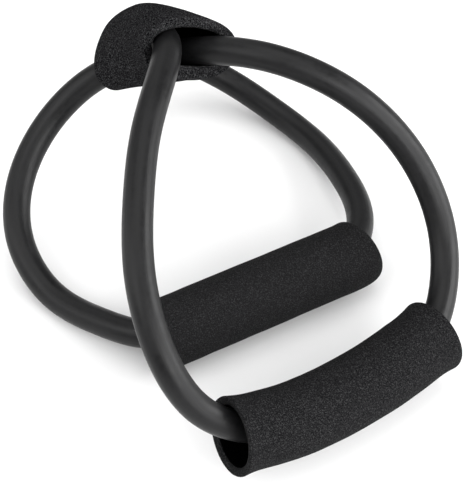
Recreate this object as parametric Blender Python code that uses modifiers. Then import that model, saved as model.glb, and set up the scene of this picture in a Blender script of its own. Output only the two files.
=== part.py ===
"""Figure-eight resistance band: one rubber tube crossed through a foam sleeve, with a foam grip on each loop.

The band lies as it is put down on a table. The rear loop rests on the surface with its straight grip,
and the front loop leans forward from the crossing, which stands about 10 cm up.

Frame: +Y is the longest extent, from the front grip to the back of the rear loop. +Z is up.
The origin is at the middle of the bounding box's underside. Units are metres.
"""
import math

import bmesh
import bpy
import numpy as np
from mathutils import Vector

# Driving dimensions
TUBE_RADIUS = 0.006
TUBE_SIDES_RESOLUTION = 4
TUBE_POINT_SPACING = 0.0125
# A short first and last step keeps a tube's end faces square to its middle line
TUBE_END_STEP = 0.001
GAP = 0.0003

GRIP_LENGTH = 0.1022
GRIP_RADIUS = 0.015
GRIP_BORE_RADIUS = 0.0115
GRIP_FLARE = 0.0024
GRIP_EDGE_ROUND = 0.0008
GRIP_STATIONS = 12

SLEEVE_WALL = 0.0030
SLEEVE_SQUARENESS = 2.3
SLEEVE_FLARE = 0.0020
SLEEVE_EDGE_ROUND = 0.0009

CLAMP_RING_WIDTH = 0.006
CLAMP_RING_WALL = 0.001
CLAMP_RING_OFFSET = 0.011

CONNECTOR_STEM_RADIUS = 0.0030
CONNECTOR_BARB_RADIUS = 0.0039
CONNECTOR_COLLAR_RADIUS = 0.0056
CONNECTOR_COLLAR_HALF = 0.0012
CONNECTOR_HALF_LENGTH = 0.0165

TUBE_END_LENGTH = 0.022
TUBE_END_BORE_RADIUS = 0.0042

# The rear grip lies level on the surface, turned about +Z, and its two ends lean back towards the tube
REAR_GRIP_CENTRE = Vector((0.0133, -0.0209, GRIP_RADIUS))
REAR_GRIP_TURN = math.radians(28.64)
REAR_GRIP_STRAIGHT_HALF = 0.036
REAR_GRIP_END_SHIFT = 0.0012
REAR_GRIP_END_LEAN = math.radians(15)

# The joined tube ends lie off the rear grip's centre line, against the front wall of its bore
CONNECTOR_CENTRE = Vector((0.0166, -0.0228, 0.0140))

# Middle line of the tube, from its right end in the rear grip, round the rear loop, through the sleeve,
# round the front loop, back through the sleeve and round to its left end in the rear grip
TUBE_ROUTE = [
    (0.0359, -0.0123, 0.0140),
    (0.0537, 0.0053, 0.0142),
    (0.0588, 0.0250, 0.0129),
    (0.0531, 0.0524, 0.0102),
    (0.0407, 0.0787, 0.0067),
    (0.0226, 0.0988, 0.0075),
    (-0.0004, 0.1110, 0.0168),
    (-0.0244, 0.1122, 0.0310),
    (-0.0421, 0.0998, 0.0505),
    (-0.0442, 0.0802, 0.0715),
    (-0.0337, 0.0612, 0.0910),
    (-0.0246, 0.0382, 0.1039),
    (-0.0257, 0.0125, 0.1089),
    (-0.0309, -0.0154, 0.1058),
    (-0.0332, -0.0435, 0.0971),
    (-0.0322, -0.0702, 0.0848),
    (-0.0246, -0.0922, 0.0668),
    (-0.0102, -0.1027, 0.0452),
    (0.0146, -0.0988, 0.0279),
    (0.0435, -0.0840, 0.0220),
    (0.0768, -0.0562, 0.0198),
    (0.0876, -0.0356, 0.0208),
    (0.0906, -0.0065, 0.0360),
    (0.0825, 0.0093, 0.0548),
    (0.0656, 0.0196, 0.0765),
    (0.0427, 0.0254, 0.0941),
    (0.0153, 0.0329, 0.1014),
    (-0.0105, 0.0445, 0.0942),
    (-0.0319, 0.0577, 0.0785),
    (-0.0554, 0.0642, 0.0624),
    (-0.0770, 0.0558, 0.0446),
    (-0.0902, 0.0351, 0.0284),
    (-0.0896, 0.0088, 0.0154),
    (-0.0748, -0.0134, 0.0063),
    (-0.0524, -0.0312, 0.0093),
    (-0.0335, -0.0408, 0.0133),
    (-0.0027, -0.0334, 0.0140),
]

# Each length of tube: the route points, counted from 0, where it starts and ends
TUBE_SECTIONS = {
    "rear_tube_right": (0.0, 9.4),
    "crossing_tube_upper": (9.4, 10.7),
    "front_tube_left": (10.7, 18.0),
    "front_tube_core": (18.0, 20.0),
    "front_tube_right": (20.0, 27.0),
    "crossing_tube_lower": (27.0, 28.5),
    "rear_tube_left": (28.5, 36.0),
}

# The sleeve's mouths: the route points of the upper and lower strand at its front and rear
SLEEVE_UPPER_STRAND = (11.15, 9.04)
SLEEVE_LOWER_STRAND = (26.76, 28.78)
# Sleeve sections from front to rear: half the level width, half the upright height, and how far the section
# hangs below the middle of the two strands. The diverging strands stretch the front mouth level and the rear
# mouth upright, and the sleeve is nearly round between them
SLEEVE_SECTIONS = [
    (0.0229, 0.0131, 0.0003),
    (0.0191, 0.0155, 0.0004),
    (0.0146, 0.0177, 0.0001),
    (0.0111, 0.0184, 0.0002),
]

# Middle line of the front grip, which bends with the tube inside it
FRONT_GRIP_AXIS = [
    (0.0015, -0.1060, 0.0318),
    (0.0225, -0.0954, 0.0265),
    (0.0439, -0.0817, 0.0231),
    (0.0655, -0.0655, 0.0221),
    (0.0850, -0.0477, 0.0215),
]

# The front loop folds about a level line through this point, at the front of the sleeve
FOLD_CENTRE = Vector((-0.014, 0.039, 0.100))

RUBBER_BLACK = (0.018, 0.018, 0.019, 1.0)
FOAM_BLACK = (0.014, 0.014, 0.016, 1.0)
CONNECTOR_GREY = (0.30, 0.30, 0.31, 1.0)
CLAMP_STEEL = (0.55, 0.55, 0.56, 1.0)


def clear_scene():
    for item in list(bpy.data.objects):
        bpy.data.objects.remove(item, do_unlink=True)


def make_collection(name):
    collection = bpy.data.collections.new(name)
    bpy.context.scene.collection.children.link(collection)
    return collection


def make_material(name, colour, roughness, metallic=0.0):
    material = bpy.data.materials.new(name)
    material.use_nodes = True
    shader = material.node_tree.nodes["Principled BSDF"]
    shader.inputs["Base Color"].default_value = colour
    shader.inputs["Roughness"].default_value = roughness
    shader.inputs["Metallic"].default_value = metallic
    return material


class SmoothLine:
    """Clamped cubic spline through points, with its end directions given or taken from its end points."""

    def __init__(self, points, start_direction=None, end_direction=None):
        self.points = np.array([tuple(point) for point in points])
        steps = np.diff(self.points, axis=0)
        self.step = np.linalg.norm(steps, axis=1)
        self.place = np.concatenate([[0.0], np.cumsum(self.step)])
        slopes = steps / self.step[:, None]
        first = slopes[0] if start_direction is None else np.array(start_direction)
        last = slopes[-1] if end_direction is None else np.array(end_direction)
        count = len(self.points)
        matrix = np.zeros((count, count))
        target = np.zeros((count, 3))
        matrix[0, :2] = (2 * self.step[0], self.step[0])
        target[0] = 6 * (slopes[0] - first)
        matrix[-1, -2:] = (self.step[-1], 2 * self.step[-1])
        target[-1] = 6 * (last - slopes[-1])
        for row in range(1, count - 1):
            before, after = self.step[row - 1], self.step[row]
            matrix[row, row - 1:row + 2] = (before, 2 * (before + after), after)
            target[row] = 6 * (slopes[row] - slopes[row - 1])
        self.bend = np.linalg.solve(matrix, target)

    def place_of(self, number):
        """Distance along the line's chords at a point number, which may have a fraction."""
        return float(np.interp(number, range(len(self.place)), self.place))

    def point(self, place):
        index = int(np.clip(np.searchsorted(self.place, place, side="right") - 1, 0, len(self.step) - 1))
        along = place - self.place[index]
        step = self.step[index]
        here, there = self.bend[index], self.bend[index + 1]
        slope = (self.points[index + 1] - self.points[index]) / step - step * (2 * here + there) / 6
        return Vector(self.points[index] + slope * along + here * along**2 / 2
                      + (there - here) * along**3 / (6 * step))

    def direction(self, place):
        reach = 0.0002
        low = max(place - reach, 0.0)
        high = min(place + reach, self.place[-1])
        return (self.point(high) - self.point(low)).normalized()


def tube_length(name, line, start, end, material, collection):
    """A plain round tube along the line, with its faces half a gap short of its neighbours'."""
    start_place = line.place_of(start) + GAP / 2
    end_place = line.place_of(end) - GAP / 2
    count = max(3, round((end_place - start_place) / TUBE_POINT_SPACING) + 1)
    places = list(np.linspace(start_place, end_place, count))
    places[1:1] = [start_place + TUBE_END_STEP]
    places[-1:-1] = [end_place - TUBE_END_STEP]
    curve = bpy.data.curves.new(name, "CURVE")
    curve.dimensions = "3D"
    curve.twist_mode = "MINIMUM"
    curve.bevel_depth = TUBE_RADIUS
    curve.bevel_resolution = TUBE_SIDES_RESOLUTION
    curve.use_fill_caps = True
    spline = curve.splines.new("POLY")
    spline.points.add(len(places) - 1)
    for point, place in zip(spline.points, places):
        point.co = (*line.point(place), 1.0)
    curve.materials.append(material)
    tube = bpy.data.objects.new(name, curve)
    collection.objects.link(tube)
    return tube


def turned_piece(name, profile, material, collection, steps=32):
    """A closed (radius, height) profile turned about the piece's own Z axis.

    The profile runs down the outer side and back up the inner side. A point with radius 0 is on the axis.
    """
    mesh = bpy.data.meshes.new(name)
    points = [(radius, 0.0, height) for radius, height in profile]
    last = len(points) - 1
    edges = [(index, index + 1) for index in range(last)]
    if profile[0][0] > 0.0:
        edges.append((last, 0))
    mesh.from_pydata(points, edges, [])
    mesh.materials.append(material)
    piece = bpy.data.objects.new(name, mesh)
    collection.objects.link(piece)
    screw = piece.modifiers.new("Turn", "SCREW")
    screw.steps = steps
    screw.render_steps = steps
    screw.use_merge_vertices = True
    screw.merge_threshold = 0.00001
    screw.use_smooth_shade = True
    return piece


def lay_along(piece, centre, turn):
    """Lay a turned piece on its side at centre, with its Z axis along +X turned about +Z."""
    piece.location = centre
    piece.rotation_euler = (0.0, math.radians(90.0), turn)


def foam_wall_outline(length, wall, flare, edge_round, stations):
    """Closed outline of a foam tube's wall, as (distance along the tube, depth below its outer surface).

    It runs back along the outside, round the rim at 0, forward along the bore and round the far rim.
    """
    arc = [math.radians(angle) for angle in (0, 30, 60, 90)]
    edge = [(edge_round * (1 - math.sin(angle)), edge_round * (1 - math.cos(angle))) for angle in arc]
    mouth = [(flare * (1 - math.cos(angle)), wall - flare * (1 - math.sin(angle))) for angle in arc]
    rim = edge + mouth
    far_rim = [(length - along, depth) for along, depth in reversed(rim)]
    outside = [(along, 0.0) for along in np.linspace(length - edge_round, edge_round, stations)[1:-1]]
    bore = [(along, wall) for along in np.linspace(flare, length - flare, stations)[1:-1]]
    return outside + rim + bore + far_rim


def oval_point(angle, half_long, half_short, squareness):
    power = 2.0 / squareness
    across = math.copysign(abs(math.cos(angle)) ** power, math.cos(angle))
    up = math.copysign(abs(math.sin(angle)) ** power, math.sin(angle))
    return half_long * across, half_short * up


def swept_wall(name, outline, section_at, origin, material, collection, sides=32, squareness=2.0):
    """A foam tube: the wall outline carried round the oval that section_at gives at each place along it."""
    mesh = bmesh.new()
    rings = []
    for along, depth in outline:
        centre, long_side, short_side, half_long, half_short = section_at(along)
        ring = []
        for index in range(sides):
            angle = 2 * math.pi * index / sides
            across, up = oval_point(angle, half_long - depth, half_short - depth, squareness)
            ring.append(mesh.verts.new(centre + long_side * across + short_side * up - origin))
        rings.append(ring)
    for ring, following in zip(rings, rings[1:] + rings[:1]):
        for index in range(sides):
            beside = (index + 1) % sides
            mesh.faces.new((ring[index], ring[beside], following[beside], following[index]))
    bmesh.ops.recalc_face_normals(mesh, faces=mesh.faces)
    data = bpy.data.meshes.new(name)
    mesh.to_mesh(data)
    mesh.free()
    data.shade_smooth()
    data.set_sharp_from_angle(angle=math.radians(50))
    data.materials.append(material)
    piece = bpy.data.objects.new(name, data)
    piece.location = origin
    collection.objects.link(piece)
    return piece


def make_empty(name, place, parent, collection):
    empty = bpy.data.objects.new(name, None)
    empty.empty_display_size = 0.01
    collection.objects.link(empty)
    attach(empty, parent, place)
    return empty


def attach(piece, parent, place):
    """Put a piece at a place in the world as a child of parent, which isn't turned or scaled."""
    piece.parent = parent
    parent_place = Vector((0.0, 0.0, 0.0))
    while parent is not None:
        parent_place += parent.location
        parent = parent.parent
    piece.location = Vector(place) - parent_place


def build_tubes(line, material, collection):
    """The visible tube as plain lengths that meet inside the grips and inside the sleeve."""
    return {
        name: tube_length(name, line, start, end, material, collection)
        for name, (start, end) in TUBE_SECTIONS.items()
    }


def build_tube_joint(rubber, plastic, steel, collection):
    """The rigid joint inside the rear grip: a barbed plug between the tube's ends, with a ring round each."""
    stem = [
        (0.0, CONNECTOR_HALF_LENGTH),
        (CONNECTOR_STEM_RADIUS * 0.8, CONNECTOR_HALF_LENGTH),
        (CONNECTOR_BARB_RADIUS, CONNECTOR_HALF_LENGTH - 0.003),
        (CONNECTOR_STEM_RADIUS, CONNECTOR_HALF_LENGTH - 0.0035),
        (CONNECTOR_BARB_RADIUS, CONNECTOR_HALF_LENGTH - 0.0075),
        (CONNECTOR_STEM_RADIUS, CONNECTOR_HALF_LENGTH - 0.008),
        (CONNECTOR_STEM_RADIUS, CONNECTOR_COLLAR_HALF),
        (CONNECTOR_COLLAR_RADIUS, CONNECTOR_COLLAR_HALF),
    ]
    profile = stem + [(radius, -height) for radius, height in reversed(stem)]
    connector = turned_piece("tube_connector", profile, plastic, collection)
    lay_along(connector, CONNECTOR_CENTRE, REAR_GRIP_TURN)
    pieces = [connector]
    along = Vector((math.cos(REAR_GRIP_TURN), math.sin(REAR_GRIP_TURN), 0.0))
    mouth = CONNECTOR_COLLAR_HALF + GAP
    socket_floor = CONNECTOR_HALF_LENGTH + GAP
    for side, word in ((1, "right"), (-1, "left")):
        profile = [
            (0.0, TUBE_END_LENGTH - GAP / 2),
            (TUBE_RADIUS, TUBE_END_LENGTH - GAP / 2),
            (TUBE_RADIUS, mouth),
            (TUBE_END_BORE_RADIUS, mouth),
            (TUBE_END_BORE_RADIUS, socket_floor),
            (0.0, socket_floor),
        ]
        if side < 0:
            profile = [(radius, -height) for radius, height in reversed(profile)]
        tube_end = turned_piece("tube_end_" + word, profile, rubber, collection)
        lay_along(tube_end, CONNECTOR_CENTRE, REAR_GRIP_TURN)
        inner = TUBE_RADIUS + GAP
        outer = inner + CLAMP_RING_WALL
        half = CLAMP_RING_WIDTH / 2
        bevel = CLAMP_RING_WALL / 3
        profile = [
            (outer - bevel, half),
            (outer, half - bevel),
            (outer, bevel - half),
            (outer - bevel, -half),
            (inner, -half),
            (inner, half),
        ]
        ring = turned_piece("clamp_ring_" + word, profile, steel, collection)
        lay_along(ring, CONNECTOR_CENTRE + along * side * CLAMP_RING_OFFSET, REAR_GRIP_TURN)
        pieces += [tube_end, ring]
    return pieces


def build_grip(name, axis, origin, foam, collection):
    """A foam grip round the line axis, with its origin on the line it turns about."""
    wall = GRIP_RADIUS - GRIP_BORE_RADIUS

    def section_at(along):
        forward = axis.direction(along)
        level = forward.cross(Vector((0.0, 0.0, 1.0))).normalized()
        return axis.point(along), level, level.cross(forward), GRIP_RADIUS, GRIP_RADIUS

    outline = foam_wall_outline(axis.place[-1], wall, GRIP_FLARE, GRIP_EDGE_ROUND, GRIP_STATIONS)
    return swept_wall(name, outline, section_at, origin, foam, collection)


def rear_grip_axis():
    along = Vector((math.cos(REAR_GRIP_TURN), math.sin(REAR_GRIP_TURN), 0.0))
    back = Vector((-along.y, along.x, 0.0))
    half = GRIP_LENGTH / 2
    places = [(-half, REAR_GRIP_END_SHIFT), (-REAR_GRIP_STRAIGHT_HALF, 0.0), (0.0, 0.0),
              (REAR_GRIP_STRAIGHT_HALF, 0.0), (half, REAR_GRIP_END_SHIFT)]
    points = [REAR_GRIP_CENTRE + along * distance + back * shift for distance, shift in places]
    level = math.cos(REAR_GRIP_END_LEAN)
    lean = math.sin(REAR_GRIP_END_LEAN)
    return SmoothLine(points, along * level - back * lean, along * level + back * lean)


def build_sleeve(line, foam, collection):
    """The foam sleeve that squeezes the two strands side by side and twists a quarter turn with them."""

    def strand_point(strand, share):
        return line.point(line.place_of(strand[0] + (strand[1] - strand[0]) * share))

    def middle(share):
        return (strand_point(SLEEVE_UPPER_STRAND, share) + strand_point(SLEEVE_LOWER_STRAND, share)) / 2

    shares = np.linspace(0.0, 1.0, 25)
    lengths = [(middle(after) - middle(before)).length for before, after in zip(shares, shares[1:])]
    places = np.concatenate([[0.0], np.cumsum(lengths)])
    length = places[-1]

    def apart(share):
        return strand_point(SLEEVE_LOWER_STRAND, share) - strand_point(SLEEVE_UPPER_STRAND, share)

    def forward_at(share):
        reach = 0.02
        return (middle(min(share + reach, 1.0)) - middle(max(share - reach, 0.0))).normalized()

    front_level = apart(0.0).normalized()
    rear_level = apart(1.0).cross(forward_at(1.0)).normalized()
    stations = np.linspace(0.0, 1.0, len(SLEEVE_SECTIONS))
    columns = list(zip(*SLEEVE_SECTIONS))

    def section_at(along):
        share = float(np.interp(along, places, shares))
        forward = forward_at(share)
        level = front_level.lerp(rear_level, share)
        level = (level - forward * level.dot(forward)).normalized()
        upright = level.cross(forward)
        half_level, half_upright, drop = (float(np.interp(share, stations, sizes)) for sizes in columns)
        return middle(share) - upright * drop, level, upright, half_level, half_upright

    outline = foam_wall_outline(length, SLEEVE_WALL, SLEEVE_FLARE, SLEEVE_EDGE_ROUND, 10)
    origin = middle(0.5)
    return swept_wall("centre_sleeve", outline, section_at, origin, foam, collection, squareness=SLEEVE_SQUARENESS)


def build_band():
    clear_scene()
    collection = make_collection("resistance_band")
    rubber = make_material("tube_rubber", RUBBER_BLACK, 0.42)
    foam = make_material("grip_foam", FOAM_BLACK, 0.9)
    plastic = make_material("connector_plastic", CONNECTOR_GREY, 0.4)
    steel = make_material("clamp_steel", CLAMP_STEEL, 0.35, metallic=1.0)

    joint_direction = (math.cos(REAR_GRIP_TURN), math.sin(REAR_GRIP_TURN), 0.0)
    line = SmoothLine(TUBE_ROUTE, joint_direction, joint_direction)
    tubes = build_tubes(line, rubber, collection)
    joint = build_tube_joint(rubber, plastic, steel, collection)
    rear_grip = build_grip("rear_grip", rear_grip_axis(), REAR_GRIP_CENTRE, foam, collection)
    front_grip_middle = (Vector(FRONT_GRIP_AXIS[0]) + Vector(FRONT_GRIP_AXIS[-1])) / 2
    front_grip = build_grip("front_grip", SmoothLine(FRONT_GRIP_AXIS), front_grip_middle, foam, collection)
    sleeve = build_sleeve(line, foam, collection)

    rear_loop = make_empty("rear_loop", CONNECTOR_CENTRE, None, collection)
    crossing = make_empty("crossing", sleeve.location, rear_loop, collection)
    fold_axis = make_empty("fold_axis", FOLD_CENTRE, crossing, collection)
    front_end = make_empty("front_end", front_grip.location, fold_axis, collection)
    for piece in [rear_grip, tubes["rear_tube_left"], tubes["rear_tube_right"]] + joint:
        attach(piece, rear_loop, piece.location.copy())
    for piece in [sleeve, tubes["crossing_tube_upper"], tubes["crossing_tube_lower"]]:
        attach(piece, crossing, piece.location.copy())
    for name in ("front_tube_left", "front_tube_right"):
        attach(tubes[name], fold_axis, tubes[name].location.copy())
    for piece in (front_grip, tubes["front_tube_core"]):
        attach(piece, front_end, piece.location.copy())


build_band()
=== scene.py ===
"""Resistance band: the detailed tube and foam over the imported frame, on a pale floor in soft light."""
import math

import bmesh
import bpy
import numpy as np
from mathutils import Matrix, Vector, noise


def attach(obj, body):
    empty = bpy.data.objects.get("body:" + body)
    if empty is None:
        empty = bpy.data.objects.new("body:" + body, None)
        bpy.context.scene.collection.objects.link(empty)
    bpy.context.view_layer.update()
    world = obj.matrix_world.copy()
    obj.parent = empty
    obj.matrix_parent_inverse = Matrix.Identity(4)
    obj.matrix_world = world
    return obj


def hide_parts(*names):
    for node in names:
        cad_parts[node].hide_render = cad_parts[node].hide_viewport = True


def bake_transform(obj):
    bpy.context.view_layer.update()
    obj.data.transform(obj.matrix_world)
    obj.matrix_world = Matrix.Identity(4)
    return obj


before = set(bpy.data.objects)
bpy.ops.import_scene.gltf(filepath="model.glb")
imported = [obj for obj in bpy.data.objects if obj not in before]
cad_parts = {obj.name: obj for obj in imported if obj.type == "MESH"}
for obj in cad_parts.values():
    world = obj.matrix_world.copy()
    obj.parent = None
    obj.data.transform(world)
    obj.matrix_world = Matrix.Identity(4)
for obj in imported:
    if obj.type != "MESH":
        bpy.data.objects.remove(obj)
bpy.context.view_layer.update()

UP = Vector((0.0, 0.0, 1.0))

# The tube's middle line, as in the CAD: from the joint in the rear grip round the rear loop, through the
# sleeve, round the front loop and back
TUBE_RADIUS = 0.006
TUBE_ROUTE = [
    (0.0359, -0.0123, 0.0140),
    (0.0537, 0.0053, 0.0142),
    (0.0588, 0.0250, 0.0129),
    (0.0531, 0.0524, 0.0102),
    (0.0407, 0.0787, 0.0067),
    (0.0226, 0.0988, 0.0075),
    (-0.0004, 0.1110, 0.0168),
    (-0.0244, 0.1122, 0.0310),
    (-0.0421, 0.0998, 0.0505),
    (-0.0442, 0.0802, 0.0715),
    (-0.0337, 0.0612, 0.0910),
    (-0.0246, 0.0382, 0.1039),
    (-0.0257, 0.0125, 0.1089),
    (-0.0309, -0.0154, 0.1058),
    (-0.0332, -0.0435, 0.0971),
    (-0.0322, -0.0702, 0.0848),
    (-0.0246, -0.0922, 0.0668),
    (-0.0102, -0.1027, 0.0452),
    (0.0146, -0.0988, 0.0279),
    (0.0435, -0.0840, 0.0220),
    (0.0768, -0.0562, 0.0198),
    (0.0876, -0.0356, 0.0208),
    (0.0906, -0.0065, 0.0360),
    (0.0825, 0.0093, 0.0548),
    (0.0656, 0.0196, 0.0765),
    (0.0427, 0.0254, 0.0941),
    (0.0153, 0.0329, 0.1014),
    (-0.0105, 0.0445, 0.0942),
    (-0.0319, 0.0577, 0.0785),
    (-0.0554, 0.0642, 0.0624),
    (-0.0770, 0.0558, 0.0446),
    (-0.0902, 0.0351, 0.0284),
    (-0.0896, 0.0088, 0.0154),
    (-0.0748, -0.0134, 0.0063),
    (-0.0524, -0.0312, 0.0093),
    (-0.0335, -0.0408, 0.0133),
    (-0.0027, -0.0334, 0.0140),
]
# The point numbers of the route, with fractions, at which the tube is cut into pieces
TUBE_SEAMS = {
    "joint_right": 0.0,
    "upper_rear": 9.4,
    "upper_front": 10.7,
    "left_middle": 13.8,
    "core_left": 18.0,
    "core_right": 20.0,
    "right_middle": 24.4,
    "lower_front": 27.0,
    "lower_rear": 28.5,
    "joint_left": 36.0,
}
SEAM_SLACK = 1e-9
TUBE_RING_SPACING = 0.0022
TUBE_SIDES = 40
TUBE_SHARP_ANGLE = math.radians(60)

# Grips and sleeve, as in the CAD
REAR_GRIP_CENTRE = Vector((0.0133, -0.0209, 0.0150))
REAR_GRIP_TURN = math.radians(28.64)
REAR_GRIP_STRAIGHT_HALF = 0.036
REAR_GRIP_END_SHIFT = 0.0012
REAR_GRIP_END_LEAN = math.radians(15.0)
GRIP_LENGTH = 0.1022
GRIP_RADIUS = 0.0150
GRIP_BORE_RADIUS = 0.0115
FRONT_GRIP_AXIS = [
    (0.0015, -0.1060, 0.0318),
    (0.0225, -0.0954, 0.0265),
    (0.0439, -0.0817, 0.0231),
    (0.0655, -0.0655, 0.0221),
    (0.0850, -0.0477, 0.0215),
]
# The sleeve's front and rear ends on its two strands, as point numbers of the route
SLEEVE_UPPER_STRAND = (11.15, 9.04)
SLEEVE_LOWER_STRAND = (26.76, 28.78)
SLEEVE_WALL = 0.0030
SLEEVE_SQUARENESS = 2.3
# Evenly spaced from front to rear: half the level width, half the upright width, and how far the sleeve's
# middle lies below the strands' middle
SLEEVE_SECTIONS = [
    (0.0229, 0.0131, 0.0003),
    (0.0191, 0.0155, 0.0004),
    (0.0146, 0.0177, 0.0001),
    (0.0111, 0.0184, 0.0002),
]
SLEEVE_STEPS = 24

# A foam rim rolls over into the bore: length and depth of its outer half, then length of its inner half
FRONT_GRIP_RIM = (0.0015, 0.0010, 0.0015)
REAR_GRIP_RIM = (0.0036, 0.0018, 0.0015)
SLEEVE_RIM = (0.0015, 0.0010, 0.0015)
RIM_STEP_DEGREES = 15
# The front grip spreads a little towards its ends
FRONT_GRIP_SPREAD = 0.0012
SPREAD_LONG = 0.0110
# The sleeve's rims swell inwards against the two strands
SLEEVE_LIP = 0.0015
LIP_LONG = 0.0070
# The lower side of its front mouth is pushed up further, most at the middle. This fades out along the bore
SLEEVE_LOWER_LIP = 0.0020
LOWER_LIP_LONG = 0.0180
LOWER_LIP_POWER = 1.5
# Deep in the bores the colour is painted near black and loses its gloss, as painted shade; this fades in
# between these distances from a rim
GRIP_BORE_SHADE_FROM = (0.0010, 0.0015)
SLEEVE_BORE_SHADE_FROM = (0.0060, 0.0095)
FOAM_STATION_SPACING = 0.0020
FOAM_SIDES = 72
# The foam's surface is slightly uneven, with more hollows than swellings
FOAM_UNEVENNESS = 0.00012
FOAM_UNEVENNESS_SIZE = 0.009
FOAM_HOLLOWNESS = 0.5

RUBBER_BLACK = (0.005, 0.005, 0.0053)
RUBBER_LIGHTEST = 1.8
RUBBER_TONE_RANGE = (0.7, 1.3)
RUBBER_ROUGHNESS = (0.30, 0.50)
RUBBER_SPECULAR = 0.215
RUBBER_RELIEF = 0.00007
DRAW_LINE_SIZE = 0.0009
DRAW_LINE_SQUEEZE = 0.03
MOTTLE_SIZE = 0.0018
MOTTLE_RELIEF_SHARE = 0.7
PATCH_SIZE = 0.014

GRIP_BLACK = (0.0028, 0.0028, 0.0032)
GRIP_GRAIN = (0.036, 0.036, 0.037)
REAR_GRIP_BLACK = (0.0062, 0.0062, 0.0065)
REAR_GRIP_GRAIN = (0.030, 0.030, 0.031)
# The sleeve's foam is a shaded copy of the grips' foam: its darker ground and lack of gloss are painted
# shade for sides that face away from the lamps, and its grain is stronger
SLEEVE_SHADED_BLACK = (0.0006, 0.0006, 0.0010)
SLEEVE_GRAIN = (0.066, 0.066, 0.068)
# The near black painted into the bores as their shade
BORE_SHADE_BLACK = (0.0006, 0.0006, 0.0007)
GRIP_GLOSS = 0.06
SLEEVE_GLOSS = 0.0
FOAM_ROUGHNESS = 0.92
FOAM_RELIEF = 0.00025
CELL_SIZE = 0.0005
CELL_RELIEF_SHARE = 0.6
GRAIN_SIZE = 0.00034
GRAIN_RANGE = (0.47, 0.63)
GRAIN_SHARE = 0.5
SPECK_SIZE = 0.00060
SPECK_RANGE = (0.54, 0.68)
SPECK_SHARE = 0.6

# The moulded or rolled pieces inside the rear grip
CONNECTOR_GREY = (0.30, 0.30, 0.31)
CONNECTOR_ROUGHNESS = 0.4
CLAMP_STEEL = (0.55, 0.55, 0.56)
CLAMP_ROUGHNESS = 0.35
TUBE_END_ROUGHNESS = 0.46
HIDDEN_GRAIN_SIZE = 0.0008
HIDDEN_GRAIN_RANGE = (0.3, 0.7)
HIDDEN_DARKEST = 0.85
HIDDEN_ROUGHNESS_SPREAD = 0.08
HIDDEN_RELIEF = 0.00003

FLOOR_HALF_WIDTH = 3.0
FLOOR_WHITE = 0.88
FLOOR_ROUGHNESS = 0.9
FLOOR_SPECULAR = 0.1
STUDIO_MIDDLE = (0.0, 0.0, 0.04)
SKY_STRENGTH = 0.40
# Round the band: degrees about +Z from +X, degrees above the floor, distance, width and power
SOFTBOXES = {
    "softbox_right": (0, 22, 1.2, 0.8, 13.0),
    "softbox_right_front": (315, 22, 1.2, 0.8, 10.0),
    "softbox_left": (180, 22, 1.2, 0.8, 3.2),
    "softbox_left_front": (215, 45, 1.3, 0.9, 6.2),
    "softbox_front": (290, 40, 1.3, 0.9, 5.0),
    "softbox_back": (115, 48, 1.3, 0.9, 1.5),
    "softbox_top": (90, 88, 1.5, 1.2, 7.5),
}
CAMERA_PLACE = (0.002, -0.482, 0.563)
CAMERA_TILT = math.radians(41.8)
CAMERA_LENS = 131.6
CAMERA_SENSOR = 36.0
CAMERA_CLIP = 0.01


class SmoothLine:
    """Clamped cubic spline through points, with its end directions given or taken from its end points."""

    def __init__(self, points, start_direction=None, end_direction=None):
        self.points = np.array([tuple(point) for point in points])
        steps = np.diff(self.points, axis=0)
        self.step = np.linalg.norm(steps, axis=1)
        self.place = np.concatenate([[0.0], np.cumsum(self.step)])
        slopes = steps / self.step[:, None]
        first = slopes[0] if start_direction is None else np.array(start_direction)
        last = slopes[-1] if end_direction is None else np.array(end_direction)
        count = len(self.points)
        matrix = np.zeros((count, count))
        target = np.zeros((count, 3))
        matrix[0, :2] = (2 * self.step[0], self.step[0])
        target[0] = 6 * (slopes[0] - first)
        matrix[-1, -2:] = (self.step[-1], 2 * self.step[-1])
        target[-1] = 6 * (last - slopes[-1])
        for row in range(1, count - 1):
            before, after = self.step[row - 1], self.step[row]
            matrix[row, row - 1:row + 2] = (before, 2 * (before + after), after)
            target[row] = 6 * (slopes[row] - slopes[row - 1])
        self.bend = np.linalg.solve(matrix, target)

    def place_of(self, number):
        """Distance along the line's chords at a point number, which may have a fraction."""
        return float(np.interp(number, range(len(self.place)), self.place))

    def point(self, place):
        """The point at a distance along the line's chords."""
        index = int(np.clip(np.searchsorted(self.place, place, side="right") - 1, 0, len(self.step) - 1))
        along = place - self.place[index]
        step = self.step[index]
        here, there = self.bend[index], self.bend[index + 1]
        slope = (self.points[index + 1] - self.points[index]) / step - step * (2 * here + there) / 6
        return Vector(self.points[index] + slope * along + here * along**2 / 2
                      + (there - here) * along**3 / (6 * step))

    def direction(self, place):
        """Unit vector along the line at a place."""
        reach = 0.0002
        low = max(place - reach, 0.0)
        high = min(place + reach, self.place[-1])
        return (self.point(high) - self.point(low)).normalized()


def new_piece(name, mesh, material):
    data = bpy.data.meshes.new(name)
    mesh.to_mesh(data)
    mesh.free()
    data.shade_smooth()
    data.materials.append(material)
    piece = bpy.data.objects.new(name, data)
    bpy.context.scene.collection.objects.link(piece)
    return piece


# ---------------------------------------------------------------- tube

def tube_rings(line, seams):
    """Ring centres and side directions all along the tube, with a ring exactly on each seam."""
    count = round(line.place[-1] / TUBE_RING_SPACING)
    places = list(np.linspace(0.0, line.place[-1], count + 1))
    too_near = TUBE_RING_SPACING / 3
    places = [place for place in places if all(abs(place - seam) > too_near for seam in seams)]
    places = sorted(places + seams)
    rings = []
    side = UP
    for place in places:
        forward = line.direction(place)
        side = (side - forward * side.dot(forward)).normalized()
        rings.append((place, line.point(place), side.copy(), forward.cross(side)))
    return rings


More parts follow.
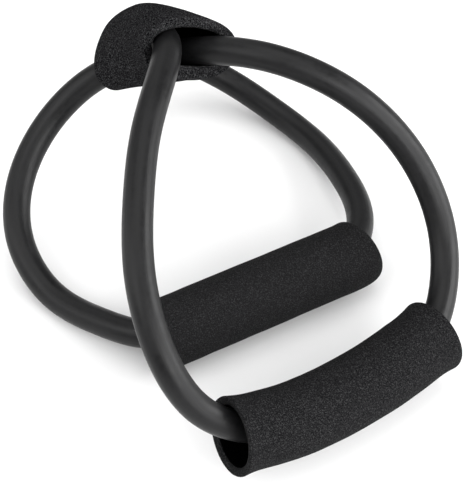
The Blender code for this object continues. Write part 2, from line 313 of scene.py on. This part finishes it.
def make_tube(name, rings, start, end, material):
    """One length of round tube and its path. Its points store their place on the straightened tube."""
    mesh = bmesh.new()
    store = mesh.verts.layers.float_vector.new("tube_place")
    own = [ring for ring in rings if start - SEAM_SLACK <= ring[0] <= end + SEAM_SLACK]
    rows = []
    for place, centre, side, other in own:
        row = []
        for index in range(TUBE_SIDES):
            angle = 2 * math.pi * index / TUBE_SIDES
            across, up = TUBE_RADIUS * math.cos(angle), TUBE_RADIUS * math.sin(angle)
            vertex = mesh.verts.new(centre + side * across + other * up)
            vertex[store] = (across, up, place)
            row.append(vertex)
        rows.append(row)
    for row, following in zip(rows, rows[1:]):
        for index in range(TUBE_SIDES):
            beside = (index + 1) % TUBE_SIDES
            mesh.faces.new((row[index], row[beside], following[beside], following[index]))
    mesh.faces.new(rows[0])
    mesh.faces.new(list(reversed(rows[-1])))
    bmesh.ops.recalc_face_normals(mesh, faces=mesh.faces)
    piece = new_piece(name, mesh, material)
    piece.data.set_sharp_from_angle(angle=TUBE_SHARP_ANGLE)
    return piece, [tuple(ring[1]) for ring in own]


def build_tube(material):
    """All the lengths of the tube. Returns its middle line, which the sleeve follows too."""
    along = (math.cos(REAR_GRIP_TURN), math.sin(REAR_GRIP_TURN), 0.0)
    line = SmoothLine(TUBE_ROUTE, along, along)
    seams = {word: line.place_of(number) for word, number in TUBE_SEAMS.items()}
    rings = tube_rings(line, list(seams.values()))

    def length(name, start, end, node):
        piece, path = make_tube(name, rings, seams[start], seams[end], material)
        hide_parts(node)
        return piece, path

    def held_length(name, start, end, node, body):
        """A length that stays inside the sleeve or a grip."""
        piece, _ = length(name, start, end, node)
        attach(piece, body)

    def free_length(name, start, end, node):
        """A length between two holders or lengths, attached to no body."""
        piece, path = length(name, start, end, node)
        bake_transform(piece)

    free_length("rear_arm_right", "joint_right", "upper_rear", "rear_tube_right")
    free_length("rear_arm_left", "lower_rear", "joint_left", "rear_tube_left")
    held_length("crossing_upper", "upper_rear", "upper_front", "crossing_tube_upper", "centre")
    held_length("crossing_lower", "lower_front", "lower_rear", "crossing_tube_lower", "centre")
    # Each front arm has two lengths, one by the sleeve and one by the front grip
    free_length("front_arm_left_near", "upper_front", "left_middle", "front_tube_left")
    free_length("front_arm_left_far", "left_middle", "core_left", "front_tube_left")
    free_length("front_arm_right_near", "right_middle", "lower_front", "front_tube_right")
    free_length("front_arm_right_far", "core_right", "right_middle", "front_tube_right")
    held_length("front_core", "core_left", "core_right", "front_tube_core", "front_end")
    return line


# ---------------------------------------------------------------- foam

def fade(distance, reach):
    """1 at no distance, easing off to 0 at reach and beyond."""
    return max(0.0, 1.0 - distance / reach) ** 2


def rolled_wall_outline(length, wall, lip, rim_sizes, stations):
    """Closed outline of a foam wall with rolled rims, as (distance along, depth below the outside)."""
    outer_long, outer_deep, inner_long = rim_sizes
    angles = [math.radians(angle) for angle in range(0, 91, RIM_STEP_DEGREES)]
    inner_deep = wall + lip - outer_deep
    outer = [(outer_long * (1 - math.sin(angle)), outer_deep * (1 - math.cos(angle)))
             for angle in angles]
    inner = [(inner_long * (1 - math.cos(angle)), wall + lip - inner_deep * (1 - math.sin(angle)))
             for angle in angles[1:]]
    rim = outer + inner
    far_rim = [(length - along, depth) for along, depth in reversed(rim)]
    outside = [(along, 0.0) for along in np.linspace(length - outer_long, outer_long, stations)[1:-1]]
    bore = []
    for along in np.linspace(inner_long, length - inner_long, stations)[1:-1]:
        from_rim = min(along, length - along) - inner_long
        bore.append((along, wall + lip * fade(from_rim, LIP_LONG)))
    return outside + rim + bore + far_rim


def oval_point(angle, half_long, half_short, squareness):
    """A point of an oval that is an ellipse at squareness 2 and squarer above it."""
    power = 2.0 / squareness
    across = math.copysign(abs(math.cos(angle)) ** power, math.cos(angle))
    up = math.copysign(abs(math.sin(angle)) ** power, math.sin(angle))
    return half_long * across, half_short * up


def foam_piece(name, length, wall, section_at, material, rim_sizes, shade_from, spread=0.0,
               squareness=2.0, lip=0.0, lower_lip=0.0):
    """A soft foam tube: the rolled wall carried round the oval that section_at gives, slightly uneven."""
    stations = round(length / FOAM_STATION_SPACING)
    outline = rolled_wall_outline(length, wall, lip, rim_sizes, stations)
    mesh = bmesh.new()
    bore_shade = mesh.verts.layers.float.new("bore_shade_share")
    rows = []
    for along, depth in outline:
        from_rim = min(along, length - along)
        # How much painted shade this ring gets: none outside and on the rims, fading in deep in the bore
        inside = float(np.interp(from_rim, shade_from, (0.0, 1.0))) if depth >= wall else 0.0
        centre, long_side, short_side, half_long, half_short = section_at(along)
        wider = spread * fade(from_rim, SPREAD_LONG)
        half_long, half_short = half_long + wider, half_short + wider
        inner_share = max(0.0, depth - rim_sizes[1]) / (wall - rim_sizes[1])
        lower_push = lower_lip * min(inner_share, 1.0) * fade(along, LOWER_LIP_LONG)
        row = []
        for index in range(FOAM_SIDES):
            angle = 2 * math.pi * index / FOAM_SIDES
            pushed = lower_push * max(0.0, -math.sin(angle)) ** LOWER_LIP_POWER
            across, up = oval_point(angle, half_long - depth, half_short - depth - pushed, squareness)
            outward = (long_side * across + short_side * up).normalized()
            point = centre + long_side * across + short_side * up
            uneven = noise.noise(point / FOAM_UNEVENNESS_SIZE) - FOAM_HOLLOWNESS
            vertex = mesh.verts.new(point + outward * uneven * FOAM_UNEVENNESS)
            vertex[bore_shade] = inside
            row.append(vertex)
        rows.append(row)
    for row, following in zip(rows, rows[1:] + rows[:1]):
        for index in range(FOAM_SIDES):
            beside = (index + 1) % FOAM_SIDES
            mesh.faces.new((row[index], row[beside], following[beside], following[index]))
    bmesh.ops.recalc_face_normals(mesh, faces=mesh.faces)
    piece = new_piece(name, mesh, material)
    return piece


def build_grip(name, axis, node, body, material, rim_sizes, spread):
    """A foam grip along its own axis, which rides on its handle's body."""

    def section_at(along):
        forward = axis.direction(along)
        level = forward.cross(UP).normalized()
        return axis.point(along), level, level.cross(forward), GRIP_RADIUS, GRIP_RADIUS

    grip = foam_piece(name, axis.place[-1], GRIP_RADIUS - GRIP_BORE_RADIUS, section_at, material,
                      rim_sizes, GRIP_BORE_SHADE_FROM, spread)
    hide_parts(node)
    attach(grip, body)


def rear_grip_axis():
    """The rear grip's middle line, straight with its ends leaning back."""
    along = Vector((math.cos(REAR_GRIP_TURN), math.sin(REAR_GRIP_TURN), 0.0))
    back = Vector((-along.y, along.x, 0.0))
    half = GRIP_LENGTH / 2
    places = [(-half, REAR_GRIP_END_SHIFT), (-REAR_GRIP_STRAIGHT_HALF, 0.0), (0.0, 0.0),
              (REAR_GRIP_STRAIGHT_HALF, 0.0), (half, REAR_GRIP_END_SHIFT)]
    points = [REAR_GRIP_CENTRE + along * distance + back * shift for distance, shift in places]
    level = math.cos(REAR_GRIP_END_LEAN)
    lean = math.sin(REAR_GRIP_END_LEAN)
    return SmoothLine(points, along * level - back * lean, along * level + back * lean)


def build_sleeve(line, material):
    """The foam sleeve that squeezes the two strands side by side and twists a quarter turn with them."""

    def strand_point(strand, share):
        return line.point(line.place_of(strand[0] + (strand[1] - strand[0]) * share))

    def middle(share):
        return (strand_point(SLEEVE_UPPER_STRAND, share) + strand_point(SLEEVE_LOWER_STRAND, share)) / 2

    shares = np.linspace(0.0, 1.0, SLEEVE_STEPS + 1)
    lengths = [(middle(after) - middle(before)).length for before, after in zip(shares, shares[1:])]
    places = np.concatenate([[0.0], np.cumsum(lengths)])
    length = places[-1]

    def apart(share):
        return strand_point(SLEEVE_LOWER_STRAND, share) - strand_point(SLEEVE_UPPER_STRAND, share)

    def forward_at(share):
        reach = 0.02
        return (middle(min(share + reach, 1.0)) - middle(max(share - reach, 0.0))).normalized()

    front_level = apart(0.0).normalized()
    rear_level = apart(1.0).cross(forward_at(1.0)).normalized()
    stations = np.linspace(0.0, 1.0, len(SLEEVE_SECTIONS))
    columns = list(zip(*SLEEVE_SECTIONS))

    def section_at(along):
        share = float(np.interp(along, places, shares))
        forward = forward_at(share)
        level = front_level.lerp(rear_level, share)
        level = (level - forward * level.dot(forward)).normalized()
        upright = level.cross(forward)
        half_level, half_upright, drop = (float(np.interp(share, stations, sizes)) for sizes in columns)
        return middle(share) - upright * drop, level, upright, half_level, half_upright

    sleeve = foam_piece("sleeve_foam", length, SLEEVE_WALL, section_at, material, SLEEVE_RIM,
                        SLEEVE_BORE_SHADE_FROM, squareness=SLEEVE_SQUARENESS, lip=SLEEVE_LIP,
                        lower_lip=SLEEVE_LOWER_LIP)
    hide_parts("centre_sleeve")
    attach(sleeve, "sleeve")


# ---------------------------------------------------------------- materials

class Nodes:
    """Short way to add and link the nodes of one material."""

    def __init__(self, name):
        self.material = bpy.data.materials.new(name)
        self.material.use_nodes = True
        self.tree = self.material.node_tree
        self.shader = self.tree.nodes["Principled BSDF"]

    def add(self, kind, links=None, **values):
        """A new node: links has a value or another node's output for each input, values its settings."""
        node = self.tree.nodes.new(kind)
        for word, value in values.items():
            setattr(node, word, value)
        for socket, source in (links or {}).items():
            if isinstance(source, bpy.types.NodeSocket):
                self.tree.links.new(source, node.inputs[socket])
            else:
                node.inputs[socket].default_value = source
        return node

    def noise(self, vector, size, detail=2.0, roughness=0.5):
        """Noise whose features are about size metres across."""
        return self.add("ShaderNodeTexNoise", {
            "Vector": vector, "Scale": 1.0 / size, "Detail": detail, "Roughness": roughness,
        }).outputs["Fac"]

    def ramp(self, factor, low, high, first, last):
        """A number that goes from first to last as factor goes from low to high."""
        return self.add("ShaderNodeMapRange", {
            "Value": factor, "From Min": low, "From Max": high, "To Min": first, "To Max": last,
        }).outputs["Result"]

    def colours(self, factor, first, last):
        """A colour that goes from first, a colour or another node's output, to last."""
        if not isinstance(first, bpy.types.NodeSocket):
            first = (*first, 1.0)
        inputs = {"Factor": factor, "A": first, "B": (*last, 1.0)}
        return self.add("ShaderNodeMix", inputs, data_type="RGBA").outputs["Result"]

    def sum(self, first, second, weight):
        """first + second * weight"""
        inputs = {0: second, 1: weight, 2: first}
        return self.add("ShaderNodeMath", inputs, operation="MULTIPLY_ADD").outputs[0]

    def bump(self, height, distance):
        inputs = {"Height": height, "Distance": distance, "Strength": 1.0}
        return self.add("ShaderNodeBump", inputs).outputs["Normal"]

    def link(self, source, socket):
        self.tree.links.new(source, self.shader.inputs[socket])


def rubber_material():
    """Satin extruded rubber: faint draw lines along the tube, a fine mottle and slightly uneven gloss."""
    nodes = Nodes("tube_rubber_detail")
    place = nodes.add("ShaderNodeAttribute", attribute_name="tube_place").outputs["Vector"]
    squeeze = (1.0, 1.0, DRAW_LINE_SQUEEZE)
    stretched = nodes.add("ShaderNodeMapping", {"Vector": place, "Scale": squeeze}).outputs["Vector"]
    draw_lines = nodes.noise(stretched, DRAW_LINE_SIZE, detail=3.0)
    mottle = nodes.noise(place, MOTTLE_SIZE, detail=4.0, roughness=0.6)
    patches = nodes.noise(place, PATCH_SIZE)
    tone = nodes.sum(mottle, patches, 1.0)
    lightest = tuple(channel * RUBBER_LIGHTEST for channel in RUBBER_BLACK)
    light_share = nodes.ramp(tone, *RUBBER_TONE_RANGE, 0.0, 1.0)
    nodes.link(nodes.colours(light_share, RUBBER_BLACK, lightest), "Base Color")
    nodes.link(nodes.ramp(tone, *RUBBER_TONE_RANGE, *RUBBER_ROUGHNESS), "Roughness")
    height = nodes.sum(draw_lines, mottle, MOTTLE_RELIEF_SHARE)
    nodes.link(nodes.bump(height, RUBBER_RELIEF), "Normal")
    nodes.shader.inputs["Specular IOR Level"].default_value = RUBBER_SPECULAR
    return nodes.material


def foam_material(name, ground, grain_tone, gloss):
    """Closed-cell foam: near black, with a fine lighter grain where its cells are cut open, and painted
    shade deep in the bores, where the colour goes near black and the gloss goes.
    """
    nodes = Nodes(name)
    place = nodes.add("ShaderNodeTexCoord").outputs["Object"]
    bore_shade = nodes.add("ShaderNodeAttribute", attribute_name="bore_shade_share").outputs["Fac"]
    cells = nodes.add("ShaderNodeTexVoronoi", {"Vector": place, "Scale": 1.0 / CELL_SIZE})
    grain = nodes.noise(place, GRAIN_SIZE, detail=1.0)
    specks = nodes.noise(place, SPECK_SIZE, detail=1.0)
    open_grain = nodes.ramp(grain, *GRAIN_RANGE, 0.0, GRAIN_SHARE)
    open_specks = nodes.ramp(specks, *SPECK_RANGE, 0.0, 1.0)
    colour = nodes.colours(nodes.sum(open_grain, open_specks, SPECK_SHARE), ground, grain_tone)
    # Painted shade: deep in the bores the colour goes near black and the gloss goes
    nodes.link(nodes.colours(bore_shade, colour, BORE_SHADE_BLACK), "Base Color")
    nodes.link(nodes.ramp(bore_shade, 0.0, 1.0, gloss, 0.0), "Specular IOR Level")
    nodes.shader.inputs["Roughness"].default_value = FOAM_ROUGHNESS
    height = nodes.sum(grain, cells.outputs["Distance"], CELL_RELIEF_SHARE)
    nodes.link(nodes.bump(height, FOAM_RELIEF), "Normal")
    return nodes.material


def hidden_material(name, colour, roughness, metallic):
    """The moulded or rolled finish of the pieces inside the rear grip."""
    nodes = Nodes(name)
    place = nodes.add("ShaderNodeTexCoord").outputs["Object"]
    grain = nodes.noise(place, HIDDEN_GRAIN_SIZE, detail=3.0)
    darkest = tuple(channel * HIDDEN_DARKEST for channel in colour)
    nodes.link(nodes.colours(grain, darkest, colour), "Base Color")
    smooth, rough = roughness - HIDDEN_ROUGHNESS_SPREAD, roughness + HIDDEN_ROUGHNESS_SPREAD
    nodes.link(nodes.ramp(grain, *HIDDEN_GRAIN_RANGE, smooth, rough), "Roughness")
    nodes.shader.inputs["Metallic"].default_value = metallic
    nodes.link(nodes.bump(grain, HIDDEN_RELIEF), "Normal")
    return nodes.material


def dress_hidden_nodes():
    """Gives the CAD's own pieces inside the rear grip their detailed materials."""
    plastic = hidden_material("connector_plastic_detail", CONNECTOR_GREY, CONNECTOR_ROUGHNESS, 0.0)
    steel = hidden_material("clamp_steel_detail", CLAMP_STEEL, CLAMP_ROUGHNESS, 1.0)
    tube_end = hidden_material("tube_end_rubber_detail", RUBBER_BLACK, TUBE_END_ROUGHNESS, 0.0)
    for node, material in (
        ("tube_connector", plastic),
        ("clamp_ring_left", steel),
        ("clamp_ring_right", steel),
        ("tube_end_left", tube_end),
        ("tube_end_right", tube_end),
    ):
        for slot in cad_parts[node].material_slots:
            slot.material = material


# ---------------------------------------------------------------- studio

def build_floor():
    mesh = bmesh.new()
    bmesh.ops.create_grid(mesh, x_segments=1, y_segments=1, size=FLOOR_HALF_WIDTH)
    nodes = Nodes("studio_floor")
    nodes.shader.inputs["Base Color"].default_value = (FLOOR_WHITE, FLOOR_WHITE, FLOOR_WHITE, 1.0)
    nodes.shader.inputs["Roughness"].default_value = FLOOR_ROUGHNESS
    nodes.shader.inputs["Specular IOR Level"].default_value = FLOOR_SPECULAR
    floor = new_piece("studio_floor", mesh, nodes.material)


def softbox(name, turn, height, distance, size, power):
    """A square light facing the band, from turn degrees round it and height degrees above the floor."""
    light = bpy.data.lights.new(name, "AREA")
    light.shape = "SQUARE"
    light.size = size
    light.energy = power
    around, above = math.radians(turn), math.radians(height)
    lamp = bpy.data.objects.new(name, light)
    level = distance * math.cos(above)
    lamp.location = (level * math.cos(around), level * math.sin(around), distance * math.sin(above))
    lamp.rotation_euler = (Vector(STUDIO_MIDDLE) - lamp.location).to_track_quat("-Z", "Y").to_euler()
    bpy.context.scene.collection.objects.link(lamp)


def build_studio():
    world = bpy.data.worlds.new("studio")
    world.use_nodes = True
    background = world.node_tree.nodes["Background"]
    background.inputs["Color"].default_value = (1.0, 1.0, 1.0, 1.0)
    background.inputs["Strength"].default_value = SKY_STRENGTH
    bpy.context.scene.world = world
    bpy.context.scene.view_settings.view_transform = "Standard"
    for name, sizes in SOFTBOXES.items():
        softbox(name, *sizes)


def build_camera():
    camera = bpy.data.cameras.new("camera")
    camera.sensor_width = CAMERA_SENSOR
    camera.sensor_fit = "HORIZONTAL"
    camera.lens = CAMERA_LENS
    camera.clip_start = CAMERA_CLIP
    viewer = bpy.data.objects.new("camera", camera)
    viewer.location = CAMERA_PLACE
    viewer.rotation_euler = (CAMERA_TILT, 0.0, 0.0)
    bpy.context.scene.collection.objects.link(viewer)
    bpy.context.scene.camera = viewer


build_camera()
build_studio()
build_floor()
rubber = rubber_material()
foam = foam_material("grip_foam_detail", GRIP_BLACK, GRIP_GRAIN, GRIP_GLOSS)
rear_foam = foam_material("rear_grip_foam_detail", REAR_GRIP_BLACK, REAR_GRIP_GRAIN, GRIP_GLOSS)
# The sleeve gets the shaded copy of the foam, with its ground darkened as painted shade
sleeve_foam = foam_material("sleeve_foam_shaded_detail", SLEEVE_SHADED_BLACK, SLEEVE_GRAIN, SLEEVE_GLOSS)
tube_line = build_tube(rubber)
build_grip("rear_grip_foam", rear_grip_axis(), "rear_grip", "rear_handle", rear_foam, REAR_GRIP_RIM, 0.0)
build_grip("front_grip_foam", SmoothLine(FRONT_GRIP_AXIS), "front_grip", "front_handle", foam,
           FRONT_GRIP_RIM, FRONT_GRIP_SPREAD)
build_sleeve(tube_line, sleeve_foam)
dress_hidden_nodes()
